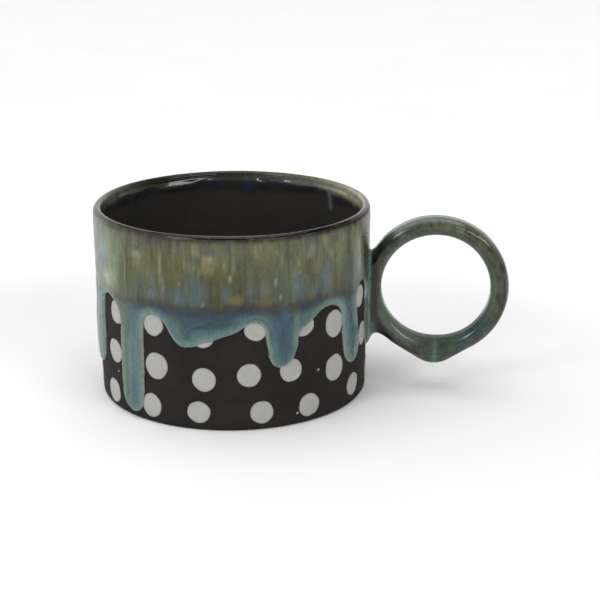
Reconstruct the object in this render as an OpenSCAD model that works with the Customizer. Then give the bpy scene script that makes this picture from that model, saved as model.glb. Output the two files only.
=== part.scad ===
// Low stoneware mug: a tapered cup with a ring handle, slip dots under a
// running glaze, and a glossy dark liner.
// Millimetres. +Z is up, +X points at the handle, and the origin is in the
// middle of the foot, on the surface that the mug stands on.

/* [Cup] */
// Outer diameter over the glazed rim
rim_d = 104; // [102:0.5:108]
// Outer diameter of the bare clay at the foot
foot_d = 101.2; // [98:0.2:102]
// Height from the foot to the top of the lip
cup_h = 72; // [66:0.5:90]
// Clay thickness of the wall just below the lip
wall_top_t = 2.2; // [2:0.1:3.2]
// Clay thickness of the wall at the floor
wall_foot_t = 3; // [2.6:0.1:5]
// Thickness of the floor slab
floor_t = 4.2; // [3:0.1:7]
// Radius that the corner coil is smoothed to inside
corner_r = 4; // [2:0.5:7]
// Rounding of the foot edge
foot_edge_r = 1.2; // [0.6:0.1:2]

/* [Handle] */
// Distance from the middle of the cup to the middle of the ring
ring_x = 77; // [76.5:0.1:78]
// Height of the middle of the ring
ring_z = 40.4; // [38:0.1:44]
// Radius of the line through the middle of the coil
ring_r = 23.9; // [23.6:0.1:24.5]
// Half thickness of the coil, in the plane of the ring
coil_a = 2.9; // [2.6:0.1:3.4]
// Half width of the coil, across the plane of the ring
coil_b = 4.2; // [3.6:0.1:5]
// How far the pinched point stands out below the ring
point_h = 2.7; // [1.5:0.1:4]
// Radius of the hollow above the upper fillet
fillet_up_r = 2.1; // [1.8:0.1:3]
// Radius of the hollow below the lower fillet
fillet_low_r = 5; // [3.5:0.1:6]

/* [Slip and glaze] */
// Diameter of a slip dot
dot_d = 8.9; // [6:0.1:10]
// Thickness of the slip dots
dot_t = 0.3; // [0.2:0.05:0.5]
// Thickness of the running glaze on the outside
glaze_t = 0.8; // [0.6:0.05:1]
// Height of the lower edge of the glaze band
band_z = 34.5; // [30:0.5:40]
// Thickness of the liner glaze
liner_t = 0.3; // [0.2:0.05:0.4]
// Thickness of the lighter glaze that laps over the rim
lap_t = 0.3; // [0.2:0.05:0.4]
// Thickness of the glaze on the handle
skin_t = 0.5; // [0.3:0.05:0.6]

/* [Hidden] */
$fn = 96;

// Radii of the clay, and the circle that rounds the lip.
r_foot = foot_d / 2;
r_rim = rim_d / 2 - glaze_t;
function r_out(z) = r_foot + (r_rim - r_foot) * z / cup_h;
lip_r = wall_top_t / 2;
lip_z = cup_h - liner_t - lip_r;
lip_x = r_out(lip_z) - lip_r;
r_floor = r_foot - wall_foot_t;
r_in_top = lip_x - lip_r;
function r_in(z) = r_floor + (r_in_top - r_floor) * (z - floor_t) / (lip_z - floor_t);
corner_x = r_in(floor_t + corner_r) - corner_r;

// Lowest height that the outer glaze may reach.
foot_clear = 1.8;

// Slip dots, as [direction, height]: three uneven rows, spaced by hand.
dots = [
    // lower row
    [-166, 7.5], [-143, 6.2], [-119, 6.8], [-98, 7.1], [-72, 7], [-51, 6.7], [-24, 7.8],
    [0, 7], [22, 7.6], [46, 6.6], [69, 7.2], [92, 6.9], [115, 7.7], [138, 7], [164, 6.8],
    // middle row
    [-165, 24], [-141, 23], [-116, 22.5], [-95, 19.6], [-77, 21.2], [-60, 21.4], [-37, 18],
    [-15, 25.4], [17, 23.2], [37, 21.6], [59, 19.8], [81, 22], [104, 20.8], [127, 22.4],
    [149, 20.4], [172, 21.8],
    // upper row, partly under the glaze
    [-162, 38.4], [-139, 38.4], [-117, 37.6], [-95, 35.6], [-75, 37.6], [-53, 38.4],
    [-37, 35.4], [-17, 40.8], [15, 39.4], [32, 36.6], [54, 38], [76, 36.4], [98, 38.2],
    [120, 36], [143, 38.4], [172, 37]];

// Runs of the outer glaze, as [direction, width, height of the tip].
runs = [
    [-161, 7, 14], [-129, 9, 2.4], [-103, 12, 31], [-92, 12, 33], [-63, 11, 23], [-26, 9.5, 16.5],
    [-10, 8, 38], [10, 6, 34], [24, 7, 27], [44, 12, 31], [65, 8.5, 15], [88, 11, 29.5],
    [109, 7, 21], [132, 9, 7.5], [155, 10, 30], [180, 7, 24]];

// Bare arches between the runs, as [direction, width, height of the top].
arches = [
    [-144, 9, 43.5], [-117, 8.5, 42], [-76, 6, 40.5], [-40, 13, 42.5], [-16.5, 6, 45.4],
    [34, 9, 41], [55, 6, 39.5], [99, 7, 40], [121, 8.5, 42.5], [144, 8, 40.5], [168, 9, 41.5]];

// Runs of the lapped glaze down the inside, as [direction, width, height of the tip].
inner_runs = [[20, 6, 54], [38, 4, 49], [57, 7, 55], [80, 4, 51], [101, 7, 56], [128, 5, 57],
              [160, 6, 58], [-150, 5, 57], [-110, 6, 58], [-75, 5, 56], [-40, 6, 57]];

// Puts a flat shape, drawn as across and up, out through the wall in direction a.
module through_wall(a, depth = 12)
    rotate([0, 0, a]) translate([r_foot - depth / 2, 0, 0])
        rotate([90, 0, 90]) linear_extrude(height = depth) children();

// A cone-shaped shell on the outside of the clay, t thick, from z0 to z1.
module outer_shell(t, z0, z1)
    rotate_extrude()
        polygon([[r_out(z0), z0], [r_out(z0) + t, z0], [r_out(z1) + t, z1], [r_out(z1), z1]]);

// The solid cone inside the outer face of the clay.
module clay_cone()
    rotate_extrude($fn = 288)
        polygon([[0, -5], [r_out(-5), -5], [r_out(cup_h + 5), cup_h + 5], [0, cup_h + 5]]);

// Run or arch outlines, with a round end.
module run_2d(w, tip)
    union() {
        translate([0, tip + w / 2]) circle(d = w);
        translate([-w / 2, tip + w / 2]) square([w, cup_h - tip - w / 2]);
    }
module arch_2d(w, top)
    union() {
        translate([0, top - w / 2]) circle(d = w);
        translate([-w / 2, 0]) square([w, top - w / 2]);
    }

// Everywhere that the running glaze reaches: the band and the runs, less the
// bare arches.
module glaze_reach()
    difference() {
        union() {
            translate([0, 0, band_z]) cylinder(r = rim_d, h = cup_h);
            for (d = runs) through_wall(d[0]) run_2d(d[1], d[2]);
        }
        for (d = arches) through_wall(d[0]) arch_2d(d[1], d[2]);
    }

// The hollow of the cup, shrunk by g, as half a section.
module hollow_2d(g)
    union() {
        polygon([[0, floor_t + g], [corner_x, floor_t + g],
                 [corner_x + corner_r - g, floor_t + corner_r],
                 [r_in(lip_z) - g, lip_z], [0, lip_z]]);
        translate([corner_x, floor_t + corner_r]) circle(r = corner_r - g);
    }

// Section of the ring coil, grown by g.
module coil_2d(g)
    union() {
        for (s = [-1, 1]) translate([ring_r, s * (coil_b - coil_a)]) circle(r = coil_a + g);
        translate([ring_r - coil_a - g, -(coil_b - coil_a)])
            square([2 * (coil_a + g), 2 * (coil_b - coil_a)]);
    }

// The ring, grown by g, with its axis along Y.
module ring_solid(g)
    translate([ring_x, 0, ring_z]) rotate([90, 0, 0]) rotate_extrude($fn = 288) coil_2d(g);

// The pinched point below the ring: two flanks that leave the ring at a
// tangent and a small round nose, drawn in the plane of the ring.
module point_solid(g) {
    ro = ring_r + coil_a + g;
    nose = 1.2 + g;
    tip = ro + point_h - nose;
    a = acos((ro - nose) / tip);
    translate([ring_x, 0, ring_z]) rotate([90, 0, 0])
        translate([0, 0, -(coil_b - 1.4 + g)]) linear_extrude(height = 2 * (coil_b - 1.4 + g))
            union() {
                polygon([[-ro * sin(a), -ro * cos(a)], [-nose * sin(a), -tip - nose * cos(a)],
                         [nose * sin(a), -tip - nose * cos(a)], [ro * sin(a), -ro * cos(a)],
                         [0, -ring_r]]);
                translate([0, -tip]) circle(r = nose);
            }
}

// A fillet between the wall and the ring, grown by g: s is 1 above and -1
// below, and r is the radius of the hollow that smooths it.
module fillet_solid(g, s, r) {
    ro = ring_r + coil_a + g;
    xw = r_out(ring_z) + g;
    q = r - g;
    up = sqrt(pow(ro + q, 2) - pow(ring_x - xw - q, 2));
    translate([0, coil_b - 0.8 + g, ring_z]) rotate([90, 0, 0])
        linear_extrude(height = 2 * (coil_b - 0.8 + g))
            difference() {
                polygon([[xw - 3, 0], [xw - 3, s * up], [xw + q, s * up], [ring_x, 0]]);
                translate([xw + q, s * up]) circle(r = q);
                translate([ring_x, 0]) circle(r = ring_r);
            }
}

// The whole handle in the round, grown by g.
module handle_total(g) {
    ring_solid(g);
    point_solid(g);
    fillet_solid(g, 1, fillet_up_r);
    fillet_solid(g, -1, fillet_low_r);
}

// Straight tapered wall with a round lip and an eased foot edge.
module cup_wall()
    color([0.18, 0.16, 0.15])
    rotate_extrude() union() {
        polygon([[r_floor, 0], [r_out(foot_edge_r) - foot_edge_r, 0],
                 [r_out(foot_edge_r), foot_edge_r], [r_out(lip_z), lip_z],
                 [r_in(lip_z), lip_z], [r_floor, floor_t]]);
        translate([r_out(foot_edge_r) - foot_edge_r, foot_edge_r]) circle(r = foot_edge_r);
        translate([lip_x, lip_z]) circle(r = lip_r);
    }

// Round slab set inside the wall.
module cup_floor()
    color([0.2, 0.18, 0.17])
    cylinder(r = r_floor, h = floor_t);

// Coil of clay smoothed into the corner between the wall and the floor.
module corner_coil()
    color([0.22, 0.2, 0.18])
    rotate_extrude() difference() {
        polygon([[corner_x, floor_t], [r_floor, floor_t],
                 [corner_x + corner_r, floor_t + corner_r], [corner_x, floor_t + corner_r]]);
        translate([corner_x, floor_t + corner_r]) circle(r = corner_r);
    }

// Ring of clay coil with its pinched point and a seat cut to the wall.
module handle_ring()
    color([0.2, 0.18, 0.16])
    difference() {
        union() { ring_solid(0); point_solid(0); }
        clay_cone();
    }

// The two fillets of soft clay that key the ring to the wall.
module handle_fillets()
    color([0.24, 0.21, 0.19])
    difference() {
        union() {
            fillet_solid(0, 1, fillet_up_r);
            fillet_solid(0, -1, fillet_low_r);
        }
        ring_solid(0);
        clay_cone();
    }

// Dots of pale slip on the outside of the wall, as far as they show: the glaze
// has taken up the slip that it ran over.
module slip_dots()
    color([0.72, 0.72, 0.7])
    difference() {
        intersection() {
            outer_shell(dot_t, foot_clear, 48);
            union() for (d = dots) through_wall(d[0]) translate([0, d[1]]) circle(d = dot_d);
        }
        glaze_reach();
        handle_total(skin_t);
    }

// Dark glaze over the whole inside and over the lip.
module liner_glaze()
    color([0.07, 0.07, 0.08])
    rotate_extrude() union() {
        difference() { hollow_2d(0); hollow_2d(liner_t); }
        intersection() {
            difference() {
                translate([lip_x, lip_z]) circle(r = lip_r + liner_t);
                translate([lip_x, lip_z]) circle(r = lip_r);
            }
            translate([lip_x - 5, lip_z]) square([10, 5]);
        }
    }

// Lighter glaze that laps over the rim and runs a little way down inside.
module inner_rim_glaze()
    color([0.34, 0.35, 0.22])
    intersection() {
        rotate_extrude()
            polygon([[r_in(46) - liner_t, 46], [r_in(lip_z) - liner_t, lip_z],
                     [r_in(lip_z) - liner_t - lap_t, lip_z], [r_in(46) - liner_t - lap_t, 46]]);
        union() {
            translate([0, 0, cup_h - 10]) cylinder(r = r_foot + 5, h = 20);
            for (d = inner_runs) through_wall(d[0], 14) run_2d(d[1], d[2]);
        }
    }

// Running glaze on the outside: a band below the lip, runs that end in round
// drips, and bare arches between them.
module outer_glaze()
    color([0.36, 0.45, 0.43])
    difference() {
        intersection() {
            outer_shell(glaze_t, foot_clear, lip_z);
            glaze_reach();
        }
        handle_total(skin_t);
    }

// Glaze over the ring, its point and the fillets.
module handle_glaze()
    color([0.22, 0.28, 0.26])
    difference() {
        union() handle_total(skin_t);
        union() handle_total(0);
        clay_cone();
    }

cup_wall();
cup_floor();
corner_coil();
handle_ring();
handle_fillets();
slip_dots();
liner_glaze();
inner_rim_glaze();
outer_glaze();
handle_glaze();
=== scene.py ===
import math

import bpy
import numpy as np
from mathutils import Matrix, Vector, kdtree


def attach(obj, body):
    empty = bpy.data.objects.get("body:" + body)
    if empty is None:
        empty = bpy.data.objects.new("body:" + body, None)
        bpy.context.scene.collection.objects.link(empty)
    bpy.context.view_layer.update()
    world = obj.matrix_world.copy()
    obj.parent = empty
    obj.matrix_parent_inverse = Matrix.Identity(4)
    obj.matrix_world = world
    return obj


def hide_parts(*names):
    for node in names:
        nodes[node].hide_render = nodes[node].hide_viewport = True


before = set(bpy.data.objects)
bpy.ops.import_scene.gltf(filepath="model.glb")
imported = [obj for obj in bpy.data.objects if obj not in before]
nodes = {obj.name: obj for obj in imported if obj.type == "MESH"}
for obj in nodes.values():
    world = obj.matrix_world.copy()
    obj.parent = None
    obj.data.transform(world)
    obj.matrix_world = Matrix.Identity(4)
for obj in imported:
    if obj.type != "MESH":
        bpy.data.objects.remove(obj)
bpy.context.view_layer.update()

scene = bpy.context.scene
PI = math.pi

# ---------------------------------------------------------------- sizes, mm
CUP_H = 72.0
R_FLOOR, FLOOR_T, CORNER_R = 47.6, 4.2, 4.0
LIP_R, LIP_Z = 1.1, 70.6
LINER_T = 0.3
RING_X, RING_Z, RING_R = 77.0, 40.4, 23.9
RING_A, RING_B = 3.4, 4.75          # half thickness and half width of the glazed coil


def r_clay(z):
    return 50.6 + 0.6 * np.asarray(z, float) / 72.0


LIP_X = float(r_clay(LIP_Z)) - LIP_R
R_IN_TOP = LIP_X - LIP_R


def r_in(z):
    return R_FLOOR + (R_IN_TOP - R_FLOOR) * (np.asarray(z, float) - FLOOR_T) / (LIP_Z - FLOOR_T)


def wobble(th, z):
    """How far the hand-made wall leaves the true cone, in mm."""
    z = np.asarray(z, float)
    lift = np.clip(z / 12.0, 0, 1)
    return lift * (0.09 * np.sin(2 * th + 0.7) + 0.05 * np.sin(3 * th + 2.1 + 0.02 * z)
                   + 0.025 * np.sin(7 * th - 0.06 * z + 0.4)) + 0.018 * np.sin(0.9 * z + 2 * th) * lift


def r_wall(th, z):
    return r_clay(z) + wobble(th, z)


def smooth(x, a, b):
    t = np.clip((np.asarray(x, float) - a) / (b - a), 0, 1)
    return t * t * (3 - 2 * t)


def waves(n, seed, lo=1, hi=9, fall=1.0):
    """A smooth periodic random function of an angle in radians, about -1 to 1."""
    g = np.random.default_rng(seed)
    k = np.arange(lo, hi + 1)
    a = g.normal(size=k.size) / k ** fall
    p = g.uniform(0, 2 * PI, k.size)
    s = math.sqrt(float((a * a).sum()) / 2) * 2.0

    def f(th):
        th = np.asarray(th, float)
        return (a * np.sin(th[..., None] * k + p)).sum(-1) / s
    return f


def lattice(u, v, a, b, seed, around=2 * PI * 51.2, octaves=3, rough=0.55):
    """Smooth random field, 0 to 1, over (u, v) in mm, with cells a by b mm. It repeats after around mm of u."""
    total, weight, out = 0.0, 1.0, 0.0
    u, v = np.asarray(u, float), np.asarray(v, float)
    for o in range(octaves):
        n = max(3, int(round(around / a)))
        g = np.random.default_rng(seed * 31 + o).random((n, 257))
        x, y = (u / around * n) % n, (v / b + 60.37) % 256
        i, j = np.floor(x).astype(int) % n, np.floor(y).astype(int)
        fx, fy = x - np.floor(x), y - j
        fx, fy = fx * fx * (3 - 2 * fx), fy * fy * (3 - 2 * fy)
        k = (i + 1) % n
        val = (g[i, j] * (1 - fx) + g[k, j] * fx) * (1 - fy) + (g[i, j + 1] * (1 - fx) + g[k, j + 1] * fx) * fy
        out = out + val * weight
        total += weight
        weight *= rough
        a, b = a / 2, b / 2
    return np.clip(0.5 + (out / total - 0.5) * 1.35, 0, 1)


def blend(c, colour, f):
    """Mix a display colour (0 to 255) into the colours c by f."""
    f = np.clip(f, 0, 1)[..., None]
    return c * (1 - f) + np.asarray(colour, float) * f


def stops(x, table):
    """Display colours read off a table of (x, (r, g, b))."""
    xs = [t[0] for t in table]
    return np.stack([np.interp(x, xs, [t[1][k] for t in table]) for k in range(3)], -1)


def to_linear(c):
    c = np.clip(c, 0, 255) / 255.0
    return np.where(c <= 0.04045, c / 12.92, ((c + 0.055) / 1.055) ** 2.4)


# ---------------------------------------------------------------- mesh helpers
def add_mesh(name, co, faces, mat, replaces=(), attrs=None):
    """A new piece from points in mm and faces. It rides on the mug and takes its finish from mat."""
    me = bpy.data.meshes.new(name)
    me.from_pydata((np.asarray(co, float) * 0.001).tolist(), [], faces)
    me.update()
    me.polygons.foreach_set("use_smooth", np.ones(len(me.polygons), bool))
    for key, values in (attrs or {}).items():
        values = np.asarray(values, np.float32)
        if values.ndim == 2:
            a = me.attributes.new(key, "FLOAT_COLOR", "POINT")
            rgba = np.concatenate([to_linear(values), np.ones((len(values), 1))], 1).astype(np.float32)
            a.data.foreach_set("color", rgba.ravel())
        else:
            a = me.attributes.new(key, "FLOAT", "POINT")
            a.data.foreach_set("value", values)
    me.validate()
    ob = bpy.data.objects.new(name, me)
    scene.collection.objects.link(ob)
    me.materials.append(mat)
    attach(ob, "root")
    if replaces:
        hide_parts(*replaces)
    return ob


def lathe(profile, n, closed=True, shape=None):
    """Points and faces of a turned form. profile is a list of (r, z) in order round the section.
    A radius of 0 becomes one point on the axis. shape(th, r, z) may move the points."""
    th = np.arange(n) * 2 * PI / n
    co, ids = [], []
    for r, z in profile:
        if r < 1e-6:
            ids.append([len(co)])
            co.append((0.0, 0.0, z))
            continue
        ids.append(list(range(len(co), len(co) + n)))
        rr, zz = np.full(n, float(r)), np.full(n, float(z))
        if shape is not None:
            rr, zz = shape(th, rr, zz)
        co.extend(np.stack([rr * np.cos(th), rr * np.sin(th), zz], -1).tolist())
    faces = []
    m = len(profile)
    for i in range(m if closed else m - 1):
        a, b = ids[i], ids[(i + 1) % m]
        if len(a) == 1 and len(b) == 1:
            continue
        for j in range(n):
            k = (j + 1) % n
            if len(a) == 1:
                faces.append((a[0], b[k], b[j]))
            elif len(b) == 1:
                faces.append((a[j], a[k], b[0]))
            else:
                faces.append((a[j], a[k], b[k], b[j]))
    return np.array(co), faces


def arc(cx, cz, r, a0, a1, n):
    return [(cx + r * math.cos(a), cz + r * math.sin(a)) for a in np.linspace(math.radians(a0), math.radians(a1), n)]


def line(p, q, n):
    """n points from p towards q, without q."""
    return [(p[0] + (q[0] - p[0]) * i / n, p[1] + (q[1] - p[1]) * i / n) for i in range(n)]


# ---------------------------------------------------------------- node helpers
def lin(r, g, b):
    """A display colour, 0 to 255, as Blender's scene colour."""
    def one(v):
        v /= 255.0
        return v / 12.92 if v <= 0.04045 else ((v + 0.055) / 1.055) ** 2.4
    return (one(r), one(g), one(b), 1.0)


class Mat:
    """A small node builder for one material."""

    def __init__(self, name):
        self.m = bpy.data.materials.new(name)
        self.m.use_nodes = True
        self.t = self.m.node_tree
        self.t.nodes.clear()
        self.out = self.t.nodes.new("ShaderNodeOutputMaterial")
        self.bsdf = self.t.nodes.new("ShaderNodeBsdfPrincipled")
        self.t.links.new(self.bsdf.outputs["BSDF"], self.out.inputs["Surface"])
        co = self.t.nodes.new("ShaderNodeTexCoord")
        mm = self.t.nodes.new("ShaderNodeVectorMath")
        mm.operation = "SCALE"
        mm.inputs["Scale"].default_value = 1000.0
        self.t.links.new(co.outputs["Object"], mm.inputs[0])
        self.pos = mm.outputs["Vector"]           # position in mm
        sep = self.t.nodes.new("ShaderNodeSeparateXYZ")
        self.t.links.new(self.pos, sep.inputs[0])
        self.x, self.y, self.z = sep.outputs[0], sep.outputs[1], sep.outputs[2]

    def put(self, node, index, value):
        s = node.inputs[index]
        if isinstance(value, bpy.types.NodeSocket):
            self.t.links.new(value, s)
        else:
            s.default_value = value

    def math(self, op, a, b=0.0, c=0.0, clamp=False):
        n = self.t.nodes.new("ShaderNodeMath")
        n.operation = op
        n.use_clamp = clamp
        self.put(n, 0, a)
        self.put(n, 1, b)
        if op in ("MULTIPLY_ADD", "SMOOTH_MIN", "SMOOTH_MAX", "COMPARE"):
            self.put(n, 2, c)
        return n.outputs[0]

    def range(self, v, a, b, lo=0.0, hi=1.0, kind="SMOOTHSTEP"):
        n = self.t.nodes.new("ShaderNodeMapRange")
        n.interpolation_type = kind
        n.clamp = True
        for i, q in enumerate((v, a, b, lo, hi)):
            self.put(n, i, q)
        return n.outputs[0]

    def scaled(self, sx, sy, sz, shift=(0, 0, 0), vec=None):
        n = self.t.nodes.new("ShaderNodeMapping")
        self.put(n, 0, vec if vec is not None else self.pos)
        n.inputs["Location"].default_value = shift
        n.inputs["Scale"].default_value = (sx, sy, sz)
        return n.outputs[0]

    def noise(self, vec, scale=1.0, detail=2.0, rough=0.5, warp=0.0, colour=False):
        n = self.t.nodes.new("ShaderNodeTexNoise")
        self.put(n, "Vector", vec)
        n.inputs["Scale"].default_value = scale
        n.inputs["Detail"].default_value = detail
        n.inputs["Roughness"].default_value = rough
        n.inputs["Distortion"].default_value = warp
        return n.outputs["Color" if colour else "Fac"]

    def voronoi(self, vec, scale=1.0, feature="F1", rand=1.0):
        n = self.t.nodes.new("ShaderNodeTexVoronoi")
        n.feature = feature
        self.put(n, "Vector", vec)
        n.inputs["Scale"].default_value = scale
        n.inputs["Randomness"].default_value = rand
        return n.outputs["Distance"]

    def ramp(self, v, stops, kind="LINEAR"):
        n = self.t.nodes.new("ShaderNodeValToRGB")
        n.color_ramp.interpolation = kind
        e = n.color_ramp.elements
        lo, hi = stops[0][0], stops[-1][0]
        while len(e) < len(stops):
            e.new(0.5)
        for el, (p, c) in zip(e, stops):
            el.position = (p - lo) / (hi - lo)
            el.color = c
        self.put(n, 0, self.range(v, lo, hi, kind="LINEAR"))
        return n.outputs["Color"]

    def mix(self, f, a, b, kind="MIX"):
        n = self.t.nodes.new("ShaderNodeMix")
        n.data_type = "RGBA"
        n.blend_type = kind
        n.clamp_factor = True
        for key, v in (("Factor_Float", f), ("A_Color", a), ("B_Color", b)):
            s = next(q for q in n.inputs if q.identifier == key)
            if isinstance(v, bpy.types.NodeSocket):
                self.t.links.new(v, s)
            else:
                s.default_value = v
        return next(q for q in n.outputs if q.identifier == "Result_Color")

    def times(self, c, factors):
        """A colour with its red, green and blue each multiplied."""
        n = self.t.nodes.new("ShaderNodeVectorMath")
        n.operation = "MULTIPLY"
        self.put(n, 0, c)
        n.inputs[1].default_value = factors
        return n.outputs["Vector"]

    def attr(self, name, colour=False):
        n = self.t.nodes.new("ShaderNodeAttribute")
        n.attribute_name = name
        return n.outputs["Color" if colour else "Fac"]

    def bump(self, height, distance, strength=1.0, normal=None):
        """distance is in mm for a height of 1."""
        n = self.t.nodes.new("ShaderNodeBump")
        n.inputs["Strength"].default_value = strength
        n.inputs["Distance"].default_value = distance * 0.001
        self.put(n, "Height", height)
        if normal is not None:
            self.put(n, "Normal", normal)
        return n.outputs["Normal"]

    def set(self, **kw):
        for key, v in kw.items():
            self.put(self.bsdf, key.replace("_", " "), v)


# ---------------------------------------------------------------- materials
def clay_material():
    """Bare dark brown-black stoneware: matt, with fine grog, faint turning marks and a few pale grains."""
    m = Mat("dark_clay")
    cloud = m.noise(m.scaled(0.06, 0.06, 0.1), detail=3, rough=0.6)
    grain = m.noise(m.pos, scale=1.6, detail=3, rough=0.7)
    fine = m.noise(m.pos, scale=5.0, detail=2, rough=0.7)
    turn = m.noise(m.scaled(0.03, 0.03, 1.1), detail=3, rough=0.6)
    c = m.ramp(cloud, [(0.3, lin(34, 31, 29)), (0.5, lin(38, 35, 33)), (0.7, lin(43, 39, 37))])
    c = m.mix(m.range(grain, 0.55, 0.8, 0, 0.5), c, lin(54, 49, 46))
    c = m.mix(m.range(grain, 0.42, 0.25, 0, 0.5), c, lin(31, 28, 27))
    cell = m.voronoi(m.pos, scale=0.33)
    speck = m.range(cell, 0.075, 0.04)
    c = m.mix(m.math("MULTIPLY", speck, 0.25), c, lin(110, 103, 96))
    m.set(Base_Color=c, Roughness=m.range(fine, 0.3, 0.7, 0.64, 0.82), Specular_IOR_Level=0.12)
    n = m.bump(m.math("ADD", m.math("MULTIPLY", grain, 0.6), m.math("MULTIPLY", fine, 0.4)), 0.09, 0.55)
    n = m.bump(turn, 0.12, 0.35, n)
    m.set(Normal=n)
    return m.m


def slip_material():
    """Pale grey-white slip, matt, with painted shade darkening the rim of each dot."""
    m = Mat("pale_slip")
    cloud = m.noise(m.pos, scale=0.35, detail=4, rough=0.62)
    fine = m.noise(m.pos, scale=2.6, detail=3, rough=0.7)
    rim = m.attr("rim")
    c = m.ramp(cloud, [(0.3, lin(164, 163, 159)), (0.5, lin(170, 169, 165)), (0.7, lin(176, 175, 171))])
    c = m.mix(m.range(fine, 0.6, 0.8, 0, 0.3), c, lin(152, 150, 146))
    # painted shade: the colour darkens towards each dot's rim
    c = m.mix(m.range(m.math("ADD", rim, m.math("MULTIPLY", fine, 0.12)), 0.93, 1.05, 0, 0.5), c, lin(112, 108, 104))
    m.set(Base_Color=c, Roughness=m.range(fine, 0.3, 0.7, 0.52, 0.66), Specular_IOR_Level=0.2)
    m.set(Normal=m.bump(m.math("ADD", fine, m.math("MULTIPLY", cloud, 1.5)), 0.05, 0.5))
    return m.m


def liner_material():
    """Near-black glossy liner. Over the lip it thins to brown outside and takes the olive of the lapped glaze inside."""
    m = Mat("black_liner")
    streak = m.noise(m.scaled(0.5, 0.5, 0.06), detail=3, rough=0.6)
    fine = m.noise(m.pos, scale=1.8, detail=3, rough=0.65)
    c = m.attr("tint", colour=True)
    c = m.mix(m.range(fine, 0.5, 0.75, 0, 0.3), c, m.times(c, (1.5, 1.5, 1.45)))
    c = m.mix(m.range(streak, 0.5, 0.3, 0, 0.2), c, m.times(c, (0.7, 0.68, 0.65)))
    m.set(Base_Color=c, Roughness=0.11, Specular_IOR_Level=0.32)
    n = m.bump(m.noise(m.scaled(0.12, 0.12, 0.2), detail=2), 0.5, 0.12)
    m.set(Normal=m.bump(fine, 0.03, 0.3, n))
    return m.m


def coat_material(name, rough, spec, relief, dull=False):
    """A streaky melted glaze. The piece carries its broad colour; the nodes add hairs, flecks and fine breaks to it."""
    m = Mat(name)
    hair = m.noise(m.scaled(1.9, 1.9, 0.24), detail=4, rough=0.6)
    streak = m.noise(m.scaled(0.7, 0.7, 0.1, (3, 1, 0)), detail=4, rough=0.58)
    mottle = m.noise(m.scaled(0.9, 0.9, 0.6, (4, 4, 4)), detail=4, rough=0.6, warp=0.5)
    c = m.attr("tint", colour=True)
    pale, deep = m.times(c, (1.75, 1.7, 1.5)), m.times(c, (0.5, 0.48, 0.4))
    c = m.mix(m.range(hair, 0.54, 0.76, 0, 0.5), c, pale)
    c = m.mix(m.range(hair, 0.46, 0.26, 0, 0.5), c, deep)
    c = m.mix(m.range(mottle, 0.56, 0.74, 0, 0.35), c, pale)
    c = m.mix(m.range(mottle, 0.44, 0.26, 0, 0.4), c, deep)
    m.set(Base_Color=c, Roughness=m.range(mottle, 0.35, 0.65, rough[0], rough[1]), Specular_IOR_Level=spec)
    if dull:
        m.set(Specular_IOR_Level=m.range(m.attr("dull"), 0, 1, spec, 0.06))
    n = m.bump(streak, 0.2 * relief, 0.32)
    n = m.bump(mottle, 0.12 * relief, 0.3, n)
    n = m.bump(hair, 0.06 * relief, 0.3, n)
    m.set(Normal=n)
    return m.m


CLAY, SLIP, LINER = clay_material(), slip_material(), liner_material()
LAP = coat_material("olive_lap", (0.07, 0.12), 0.5, 0.35)
RUNNING = coat_material("running_glaze", (0.24, 0.36), 0.4, 1.0, dull=True)
HANDLE = coat_material("handle_glaze", (0.08, 0.15), 0.4, 0.6, dull=True)

# ---------------------------------------------------------------- the clay cup
foot_wave = waves(1, 21, 2, 11, 0.6)


def clay_shape(th, r, z):
    w = wobble(th, z)
    edge = np.clip(1 - np.abs(z - 0.5) / 1.6, 0, 1) * (r > 48.5)
    return r + w - 0.12 * edge * (0.5 + 0.5 * foot_wave(th)), z


FE = 1.3
outer = [(R_FLOOR, 0.0), (48.4, 0.0), (49.0, 0.0)]
outer += arc(float(r_clay(FE)) - FE, FE, FE, -90, -4, 9)
outer += line((float(r_clay(2.2)), 2.2), (float(r_clay(48)), 48.0), 62)
outer += line((float(r_clay(48)), 48.0), (float(r_clay(LIP_Z)), LIP_Z), 12)
outer += arc(LIP_X, LIP_Z, LIP_R, 0, 180, 13)
outer += line((float(r_in(69)), 69.0), (float(r_in(8)), 8.0), 10)
outer += [(float(r_in(8.0)), 8.0), (R_FLOOR, FLOOR_T), (R_FLOOR, 2.0)]
co, fa = lathe(outer, 480, shape=clay_shape)
wall = add_mesh("cup_wall_clay", co, fa, CLAY, ["cup_wall"])

# Floor slab: flat underneath, with faint turning rings, and its top under the liner.
prof = [(0.0, 0.05)]
for i in range(1, 61):
    r = (R_FLOOR - 0.15) * i / 60
    prof.append((r, 0.05 + 0.03 * math.sin(r * 1.9) - 0.03 * smooth(r, 42, 46.5)))
prof += [(R_FLOOR, 0.12), (R_FLOOR, FLOOR_T - 0.02), (30.0, FLOOR_T - 0.02), (0.0, FLOOR_T - 0.02)]
co, fa = lathe(prof, 240, closed=False)
floor_slab = add_mesh("cup_floor_slab", co, fa, CLAY, ["cup_floor"])

# ---------------------------------------------------------------- liner glaze
corner_x = float(r_in(FLOOR_T + CORNER_R)) - CORNER_R
swell = waves(1, 33, 2, 7, 0.8)


def liner_shape(th, r, z):
    inside = (r < R_IN_TOP + 0.2)
    up = smooth(z, 6, 20) * (1 - smooth(z, 66, 69.5))
    rib = 0.02 * np.sin(1.15 * z + 1.0 * th) + 0.04 * np.sin(0.37 * z - th + 1.3)
    r2 = r - inside * up * (0.05 + rib)
    lip = smooth(z, 69.5, 71.5)
    return r2 + wobble(th, z) * smooth(z, 4, 12), z + lip * 0.06 * swell(th)


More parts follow.
